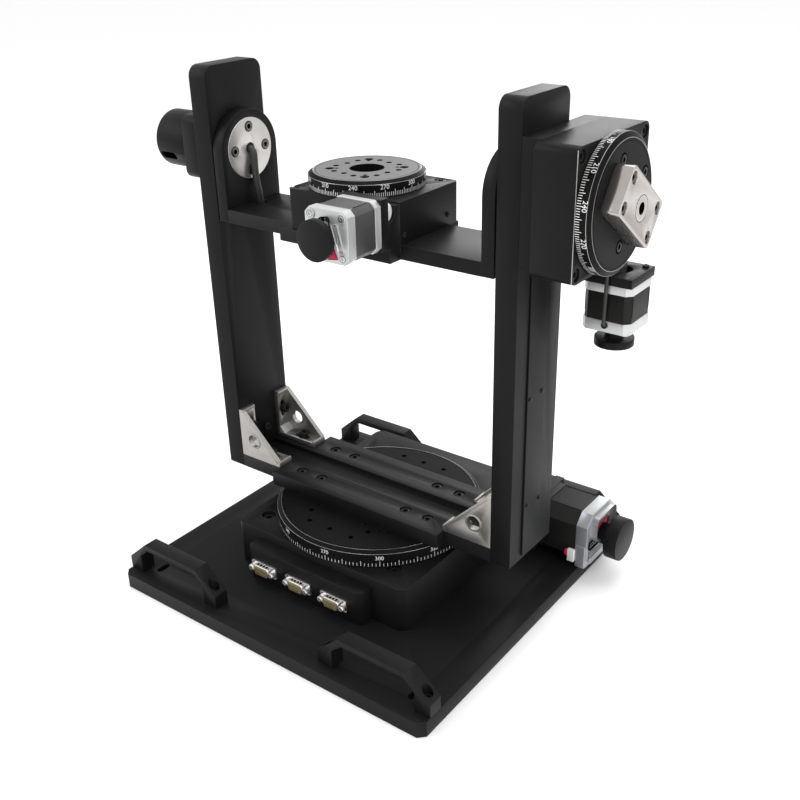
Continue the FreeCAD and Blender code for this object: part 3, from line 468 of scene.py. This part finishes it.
def graduated(name, body, radius, rim, zero, digits, numbers_up, spot=None):
    """A ring of lines and numbers that grow anticlockwise about the table's own axis."""
    parts = []
    reach = (radius + paint_proud) * mm
    faces = max(1, round(line_width / (radius * math.radians(face_turn))))

    def between_lines(face):
        angle = math.degrees(math.atan2(face.center.y, face.center.x)) - zero
        return not 0 <= (angle % every) / face_turn < faces

    for every, low, high in line_rows:
        bpy.ops.object.select_all(action="DESELECT")
        bpy.ops.mesh.primitive_cylinder_add(
            vertices=round(360 / face_turn), radius=reach, depth=(high - low) * mm,
            end_fill_type="NOTHING", location=(0, 0, (rim + (low + high) / 2) * mm))
        ring = bpy.context.object
        open_at_faces(ring, between_lines)
        bpy.ops.mesh.delete(type="FACE")
        close()
        bpy.ops.object.transform_apply(location=True)
        parts.append(ring)
    for number in range(0, 360, number_turn):
        bpy.ops.object.text_add()
        text = bpy.context.object
        text.data.body = str(number)
        text.data.size = digits * mm * type_to_digit
        text.data.align_x = "CENTER"
        text.data.align_y = "CENTER"
        bpy.ops.object.convert(target="MESH")
        written = bpy.context.object
        middle = math.radians(number + zero)
        for vertex in written.data.vertices:
            angle = middle + vertex.co.x / (radius * mm)
            vertex.co = (reach * math.cos(angle), reach * math.sin(angle),
                         vertex.co.y + (rim + numbers_up) * mm)
        parts.append(written)
    bpy.ops.object.select_all(action="DESELECT")
    for part in parts:
        part.select_set(True)
    bpy.context.view_layer.objects.active = parts[0]
    bpy.ops.object.join()
    settle(bpy.context.object, name, body, ink, spot=spot)


azimuth_radius = 100
top_radius = 50
elevation_radius = 52
tilt_spot = Matrix(((0, 0, 1, 0), (1, 0, 0, 0), (0, 1, 0, tilt_height * mm), (0, 0, 0, 1)))
graduated("azimuth_scale", "yoke", azimuth_radius, rim=60.5, zero=-352.3, digits=3.9, numbers_up=8.6)
graduated("top_scale", "top_rotor", top_radius, rim=385, zero=-305, digits=3.7, numbers_up=7.6)
graduated("elevation_scale", "cradle", elevation_radius, rim=223.5, zero=-71.5, digits=3.9,
          numbers_up=6.2, spot=tilt_spot)


# Sockets: three nine-pole data sockets with a nickel plated flange and dimpled shell, a buff
# insulator with nine contacts, and a hexagonal jack screw at each end.
gold = bright("gold_plate", (0.9, 0.72, 0.36), rough=0.3, grain=1500, pits_depth=0.02)
nickel = bright("nickel_plate", (0.92, 0.86, 0.84), rough=0.3, grain=1500, pits_depth=0.03)
ivory = anodised("insulator", (0.20, 0.165, 0.095), rough=0.5, grain=900)
socket_middles = (-52.7, -9.7, 33.3)
box_face = -112
flange_height = 31
flange_outline = (30.8, 30.8, 12.5)
shell_height = 30.6
shell_depth = 7
shell_outline = (18.2, 16, 10.4)
core_outline = (17.4, 15.2, 9.6)
shell_top = 35.65
dimple_face = -115
dimple_pitch = 3.5
pin_pitch = 2.76
pin_face = -118.6
# Each row of contacts: its number, how many there are, and its height off the shell's middle.
pin_rows = ((0, 5, 1.5), (1, 4, -1.5))
jack_offset = 12.4
jack_face = -112.9


def tray(width_top, width_low, height, depth, corner):
    """A block of the D form: wider at the top, rounded all over, standing on its local zero."""
    bpy.ops.object.select_all(action="DESELECT")
    bpy.ops.mesh.primitive_cube_add(size=1, location=(0, 0, 0.5))
    bpy.ops.object.transform_apply(location=True)
    piece = bpy.context.object
    for vertex in piece.data.vertices:
        width = width_top if vertex.co.y > 0 else width_low
        vertex.co = (vertex.co.x * width * mm, vertex.co.y * height * mm, vertex.co.z * depth * mm)
    bpy.ops.object.mode_set(mode="EDIT")
    bpy.ops.mesh.select_all(action="SELECT")
    bpy.ops.mesh.bevel(offset=corner * mm, segments=5, affect="EDGES")
    bpy.ops.object.mode_set(mode="OBJECT")
    return piece


flanges = []
for number, across in enumerate(socket_middles):
    flange = tray(*flange_outline, depth=1, corner=1.5)
    flanges.append(settle(flange, f"socket_plate_{number}", "stand", ground,
                          (across, box_face, flange_height), frontward))
    mouth = (across, box_face, shell_height)
    shell = tray(*shell_outline, depth=shell_depth, corner=2.2)
    carve(shell, tray(*core_outline, depth=shell_depth + 2, corner=1.9))
    settle(shell, f"socket_shell_{number}", "stand", nickel, mouth, frontward)
    core = tray(*core_outline, depth=shell_depth - 0.3, corner=1.9)
    settle(core, f"socket_insulator_{number}", "stand", ivory, mouth, frontward)
    for row, count, height in pin_rows:
        for pin in range(count):
            place = (across + (pin - (count - 1) / 2) * pin_pitch, pin_face, shell_height + height)
            settle(turned(0.95, 0.2, sides=16), f"contact_{number}_{row}_{pin}", "stand", gold,
                   place, frontward)
            # Each contact's bore is a dark disc of painted shade.
            settle(turned(0.6, 0.25, sides=12), f"contact_bore_{number}_{row}_{pin}", "stand", shadow,
                   place, frontward)
    # Each dimple in the shell's top is a dark sheet of painted shade.
    for dimple in range(4):
        settle(tray(1.7, 1.7, 2.6, depth=0.25, corner=0.5), f"dimple_{number}_{dimple}", "stand", shadow,
               (across + (dimple - 1.5) * dimple_pitch, dimple_face, shell_top), up)
    for side in (-1, 1):
        jack = carve(turned(3, 6, sides=6, edge=0.4), turned(1.4, 6, sides=20, low=1.5))
        settle(jack, f"jack_{number}_{side + 1}", "stand", nickel,
               (across + side * jack_offset, jack_face, flange_height), frontward, spin=30)
for flange in flanges:
    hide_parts("signal_sockets")


# Stepper motors: a stack of black painted steel sheets between two die cast end caps. The two
# small rear caps have four tie screws in raised bosses, a plug opening and a bare oval patch.
signal_red = anodised("red_plastic", (0.44, 0.02, 0.075), rough=0.4, grain=800)
patch = bright("bare_patch", (0.70, 0.70, 0.69), rough=0.5, grain=900, pits_depth=0.02)
drives = {
    "azimuth": {
        "body": "stand", "origin": (0, 108, 43.7), "axes": ((0, 1, 0), (0, 0, 1), (1, 0, 0)),
        "run": "X", "side": 56.4, "corner_cut": 11, "front": 131, "length": 56, "screws": (),
        "sheet_shine": 0.12,
    },
    "elevation": {
        "body": "yoke", "origin": (210, 56, 399), "axes": ((0, 1, 0), (1, 0, 0), (0, 0, -1)),
        "run": "Z", "side": 42.3, "corner_cut": 5, "front": 75.5, "length": 40,
        "screws": ((-1, -1), (1, -1), (1, 1), (-1, 1)), "sheet_shine": 0.12,
    },
    "top": {
        "body": "cradle", "origin": (39.5, 0, 370.5), "axes": ((1, 0, 0), (0, 0, 1), (0, -1, 0)),
        "run": "Y", "side": 42.3, "corner_cut": 5, "front": 60, "length": 41,
        "screws": ((-1, -1), (1, -1), (1, 1), (-1, 1)), "sheet_shine": 1.0,
    },
}
front_cap = 9
rear_cap = 14
screw_reach = 15.5
boss = 4.3
boss_bore = boss * 0.72
tie_head = boss * 0.6
tie_key = boss * 0.3
collar_share = 0.54
collar_bore_share = 0.4
groove_sunk = 0.6
# Each detail: its middle, its upper width, lower width and height, how far it rises, finish, turn.
small_rear = {
    "bare_patch": ((11.2, 0), (5.4, 5.4, 22), 0.15, patch, 16),
    # The plug opening is a dark sheet of painted shade.
    "plug_opening_shade": ((-0.4, 8.2), (9.5, 9.5, 14), 0.2, shadow, 12),
    "plug_rib_0": ((-4.4, 9), (0.9, 0.9, 11), 0.7, ground, 12),
    "plug_rib_1": ((0.6, 9), (0.7, 0.7, 11), 0.5, ground, 12),
    "red_wedge": ((4.6, -11.5), (3, 10, 13), 0.5, signal_red, 8),
}
rear_details = {
    "elevation": small_rear,
    "top": small_rear,
    "azimuth": {
        "upper_plate": ((0, 12), (40, 40, 27), 0.8, grey_cast, 0),
        "bare_patch": ((1, 20.5), (25, 25, 5.5), 0.95, patch, 0),
        "patch_line_0": ((1, 17.2), (25, 25, 0.6), 0.9, shadow, 0),
        "patch_line_1": ((1, 23.8), (25, 25, 0.6), 0.9, shadow, 0),
        "red_wedge": ((1.5, 7.5), (25, 18, 11), 1.8, signal_red, 0),
        # The plug opening is a dark sheet of painted shade.
        "plug_opening_shade": ((-8, -4.5), (33, 33, 9), 1, shadow, 0),
        "plug_rib_0": ((-8, -2.4), (30, 30, 1), 1.5, ground, 0),
        "plug_rib_1": ((-8, -5.2), (30, 30, 1), 1.5, ground, 0),
    },
}


def laminated(name, run, shine):
    """Painted sheet steel: fine parallel edges across the motor's axis under matt black paint."""
    made = anodised(name, (0.012, 0.0115, 0.011), rough=0.42, grain=1200, shine=shine)
    tree = made.node_tree
    place = tree.nodes.new("ShaderNodeTexCoord")
    sheets = tree.nodes.new("ShaderNodeTexWave")
    sheets.bands_direction = run
    sheets.inputs["Scale"].default_value = 620
    sheets.inputs["Distortion"].default_value = 0.6
    tree.links.new(place.outputs["Object"], sheets.inputs["Vector"])
    surface = tree.nodes["Principled BSDF"].inputs["Normal"]
    pitted = surface.links[0].from_socket
    tree.links.new(relief(tree, sheets.outputs["Fac"], strength=0.5, depth=0.15, under=pitted), surface)
    return made


spots = {}
for stage, drive in drives.items():
    spot = Matrix(drive["axes"]).transposed().to_4x4()
    spot.translation = Vector(drive["origin"]) * mm
    spots[stage] = spot
    body = drive["body"]
    finish = cap_finish[stage]
    half_side = drive["side"] / 2
    back = drive["front"] + drive["length"]
    dress(stage + "_motor_stator", laminated(stage + "_laminations", drive["run"], drive["sheet_shine"]))
    for number, (across, up_by) in enumerate(drive["screws"]):
        centre = (across * screw_reach, up_by * screw_reach, back)
        ring = carve(turned(boss, 0.8, sides=32, edge=0.25), turned(boss_bore, 2, sides=32, low=-0.5))
        settle(ring, f"{stage}_boss_{number}", body, finish, centre, spot=spot)
        head = carve(turned(tie_head, 0.9, sides=28, edge=0.25), turned(tie_key, 2, sides=6, low=0.3))
        settle(head, f"{stage}_tie_screw_{number}", body, ground, centre, spin=33 * number, spot=spot)
    collar = turned(half_side * collar_share, 0.7, sides=64, edge=0.2)
    carve(collar, turned(half_side * collar_bore_share, 2, sides=64, low=-0.5))
    settle(collar, f"{stage}_rear_collar", body, finish, (0, 0, back), spot=spot)
    for part, (centre, size, depth, part_finish, spin) in rear_details[stage].items():
        form = tray(*size, depth=depth, corner=0.24 * min(size))
        settle(form, f"{stage}_{part}", body, part_finish, (*centre, back), spin=spin, spot=spot)
    # Dark bars of painted shade run along the stator's flats beside its chamfered corners, where its
    # grooves are.
    groove_reach = half_side - drive["corner_cut"] - 1
    for edge in (-1, 1):
        for face in (-1, 1):
            groove = tray(1, 1, 0.5, depth=drive["length"] - front_cap - rear_cap, corner=0.1)
            place = (edge * groove_reach, face * (half_side - groove_sunk), drive["front"] + front_cap)
            settle(groove, f"{stage}_groove_{edge + 1}_{face + 1}", body, shadow, place, spot=spot)


# Azimuth motor: its front cap is painted black, and its grey rear cap has a thicker lower half with a
# ridge, four cooling ribs and dark strips of painted shade in the gaps between them.
behind_front_cap = 150 * mm
caps = nodes["azimuth_motor_caps"]
caps.data.materials.append(black)
for face in caps.data.polygons:
    face.material_index = 1 if face.center.x < behind_front_cap else 0
cap_spot = spots["azimuth"]
cap_face = drives["azimuth"]["front"] + drives["azimuth"]["length"]
lower_half = -15.6
rib_middle = -8
rib_length = 31
settle(tray(55.4, 55.4, 25, depth=11, corner=1.2), "azimuth_cap_block", "stand", grey_cast,
       (0, lower_half, cap_face - 11.4), spot=cap_spot)
for number, height in enumerate((-11, -14, -17, -20)):
    # The gap below each rib is a dark strip of painted shade.
    gap = tray(rib_length, rib_length, 1, depth=0.3, corner=0.3)
    settle(gap, f"azimuth_cap_gap_{number}", "stand", shadow,
           (rib_middle, height - 1.4, cap_face), spot=cap_spot)
    rib = tray(rib_length, rib_length, 1.5, depth=1.1, corner=0.4)
    settle(rib, f"azimuth_cap_rib_{number}", "stand", grey_cast,
           (rib_middle, height, cap_face), spot=cap_spot)
settle(tray(2.5, 2.5, 24, depth=10, corner=0.6), "azimuth_cap_ridge", "stand", grey_cast,
       (-28.2, lower_half, cap_face - 11), spot=cap_spot)


# Lead plug: white moulded nylon, low on the inner side of the azimuth motor, with a red plug
# beside it.
nylon = anodised("white_nylon", (0.75, 0.74, 0.7), rough=0.5, grain=700)
for name, size, place, finish in (
    ("lead_plug", (7, 7, 13), (172.3, 79.8, 28), nylon),
    ("lead_plug_red", (3.5, 3.5, 6), (167.2, 79.6, 30), signal_red),
):
    settle(tray(*size, depth=4, corner=0.5), name, "stand", finish, place, frontward)


# Elevation motor's fixings: two screws go down through its mount's flange, and a rubber grommet
# holds its lead where it leaves the rear cap.
mount_across, mount_along, _ = drives["elevation"]["origin"]
flange_top = 331
for number, side in enumerate((-screw_reach, screw_reach)):
    place = (mount_across + side, mount_along + screw_reach, flange_top)
    cap_screw(f"elevation_flange_screw_{number}", "yoke", place, up, radius=2.8, height=1.6)
settle(turned(2.7, 1.8, sides=28, edge=0.5), "lead_grommet", "yoke", oxide, (210.6, 34.9, 289.5), frontward)


# Top stage's coupling: a pale disc of painted light stands for its lit face, seen through the window in the
# motor mount. Only the round face shows.
settle(turned(8.1, 0.6, sides=48, edge=0.1), "coupling_face_painted_light", "cradle", nylon, (57.4, -50.5, 379), outward)


# Brackets: the castings have a raised rim along the slope, a low boss round the hole and a smooth fillet in
# the inner corner, in a paler finish as its painted highlight. Each is held by a screw in its floor and one
# in its side.
arm_face = 150
beam_edge = 35
beam_top = 90
screw_inset = 11
screw_along = 31
wall = 4
rim_length = 63
lip_length = 16.5
for side, side_name in ((-1, "left"), (1, "right")):
    for end, end_name in ((-1, "front"), (1, "rear")):
        name = f"{side_name}_{end_name}"
        across = end * (beam_edge - screw_inset)
        cap_screw(f"{name}_floor_screw", "yoke", (side * (arm_face - screw_along), across, beam_top + wall),
                  up, radius=4.9, height=5.5)
        cap_screw(f"{name}_arm_screw", "yoke", (side * (arm_face - wall), across, beam_top + screw_along),
                  (-side, 0, 0), radius=4.9, height=5.5)
        corner = Matrix(((-side, 0, 0), (0, 0, 1), (0, -end, 0))).transposed().to_4x4()
        corner.translation = Vector((side * arm_face, end * beam_edge, beam_top)) * mm
        ring = carve(turned(8.6, 5, sides=48, edge=0.6, low=-0.5), turned(6.9, 14, sides=48, low=-2))
        settle(ring, f"{name}_bracket_boss", "yoke", rough_cast, (17.5, 20, 0), spot=corner)
        rim = tray(rim_length, rim_length, 2.6, depth=2.6, corner=0.5)
        settle(rim, f"{name}_bracket_rim", "yoke", rough_cast, (26.7, 26.7, -0.6), spin=-45, spot=corner)
        # The fillet takes the paler cast finish, a painted highlight where the inner corner catches the
        # light.
        fillet = turned(6.5, 13.6, sides=4)
        settle(fillet, f"{name}_bracket_fillet_highlight", "yoke", cast, (wall, wall, wall), spot=corner)
        for lip, (form, place) in enumerate((
            ((2.4, 2.4, 5), (49.6, 3, 1)),
            ((5, 5, 2.4), (3, 49.6, 1)),
        )):
            edge = tray(*form, depth=lip_length, corner=0.5)
            settle(edge, f"{name}_bracket_lip_{lip}", "yoke", rough_cast, place, spot=corner)


# Small tapped holes in the two open tables, each shown by a thin dark disc of painted shade. The top
# table's four bolt holes have a wider countersink round them, shown as a ring of painted shade.
top_face = 397.5
azimuth_face = 76
top_holes_turn = 35
hole = 2.6
pin_hole = 1.7
small_hole = 1.4


def mouths(name, body, spot_list, level, turn=0, bore=0):
    """A thin disc of painted shade at each place, or a ring of it where the bore itself is open."""
    own = Matrix.Rotation(math.radians(turn), 4, "Z")
    for number, (across, along, radius) in enumerate(spot_list):
        place = own @ Vector((across, along, 0))
        mouth = turned(radius, film, sides=28, low=-0.02)
        if bore:
            carve(mouth, turned(bore, 1, sides=28, low=-0.5))
        settle(mouth, f"{name}_{number}", body, shadow, (place.x, place.y, level))


quarter_holes = ((27.05, 9.6, hole), (27.05, -9.6, hole), (18, 18, hole), (25.6, 0, pin_hole))
top_holes = []
for cosine, sine in ((1, 0), (0, 1), (-1, 0), (0, -1)):
    for across, along, radius in quarter_holes:
        top_holes.append((across * cosine - along * sine, across * sine + along * cosine, radius))
mouths("top_hole", "top_rotor", top_holes, top_face, turn=top_holes_turn)
table_bolt_circle = 31.5
bolt_mouth = 3.8
bolt_bore = 2.55
bolt_mouths = [
    (table_bolt_circle, 0, bolt_mouth),
    (0, table_bolt_circle, bolt_mouth),
    (-table_bolt_circle, 0, bolt_mouth),
    (0, -table_bolt_circle, bolt_mouth),
]
mouths("top_bolt_mouth", "top_rotor", bolt_mouths, top_face, turn=top_holes_turn, bore=bolt_bore)
grid_holes = [(across, along, hole) for across in (-25, 0, 25) for along in (-75, 75)]
mouths("azimuth_hole", "yoke", grid_holes, azimuth_face)
mouths("azimuth_fixing", "yoke", [
    (-35.6, -60.4, hole), (-35.9, -49.8, small_hole), (-28.7, -42.6, small_hole), (32.7, -59.2, hole),
    (22.3, -50, small_hole), (31.5, -42.6, small_hole), (40, -52, small_hole), (49, -49.3, small_hole),
], azimuth_face)


# Turned edges: each table's rim is broken by a bright cut edge of bare metal, laid also as the edge's
# painted highlight; a second one runs on its upper face, and a fine dark line of painted shade lies inside
# that.
cut_radius = 0.2
cut_inset = 0.16
cut_sunk = 0.1
bevel_width = 4
bevel_drop = 2.5
fine_inset = 6
for stage, body, radius, face, spot in (
    ("azimuth", "yoke", azimuth_radius, azimuth_face, None),
    ("top", "top_rotor", top_radius, top_face, None),
    ("elevation", "cradle", elevation_radius, table_face, tilt_spot),
):
    # The fine line is a dark ring of painted shade.
    line = turned(radius - fine_inset, 0.06, sides=128, low=film_low)
    carve(line, turned(radius - fine_inset - line_width, 1, sides=128, low=-0.5))
    settle(line, f"{stage}_fine_shade_line", body, shadow, (0, 0, face), spot=spot)
    for number, (reach, level) in enumerate(((radius - bevel_width, face), (radius, face - bevel_drop))):
        # The bright cut edges are bare metal, laid also as the edges' painted highlight.
        bpy.ops.object.select_all(action="DESELECT")
        bpy.ops.mesh.primitive_torus_add(
            major_radius=(reach - cut_inset) * mm, minor_radius=cut_radius * mm,
            major_segments=180, minor_segments=8)
        settle(bpy.context.object, f"{stage}_cut_edge_{number}", body, machined,
               (0, 0, level - cut_sunk), spot=spot)
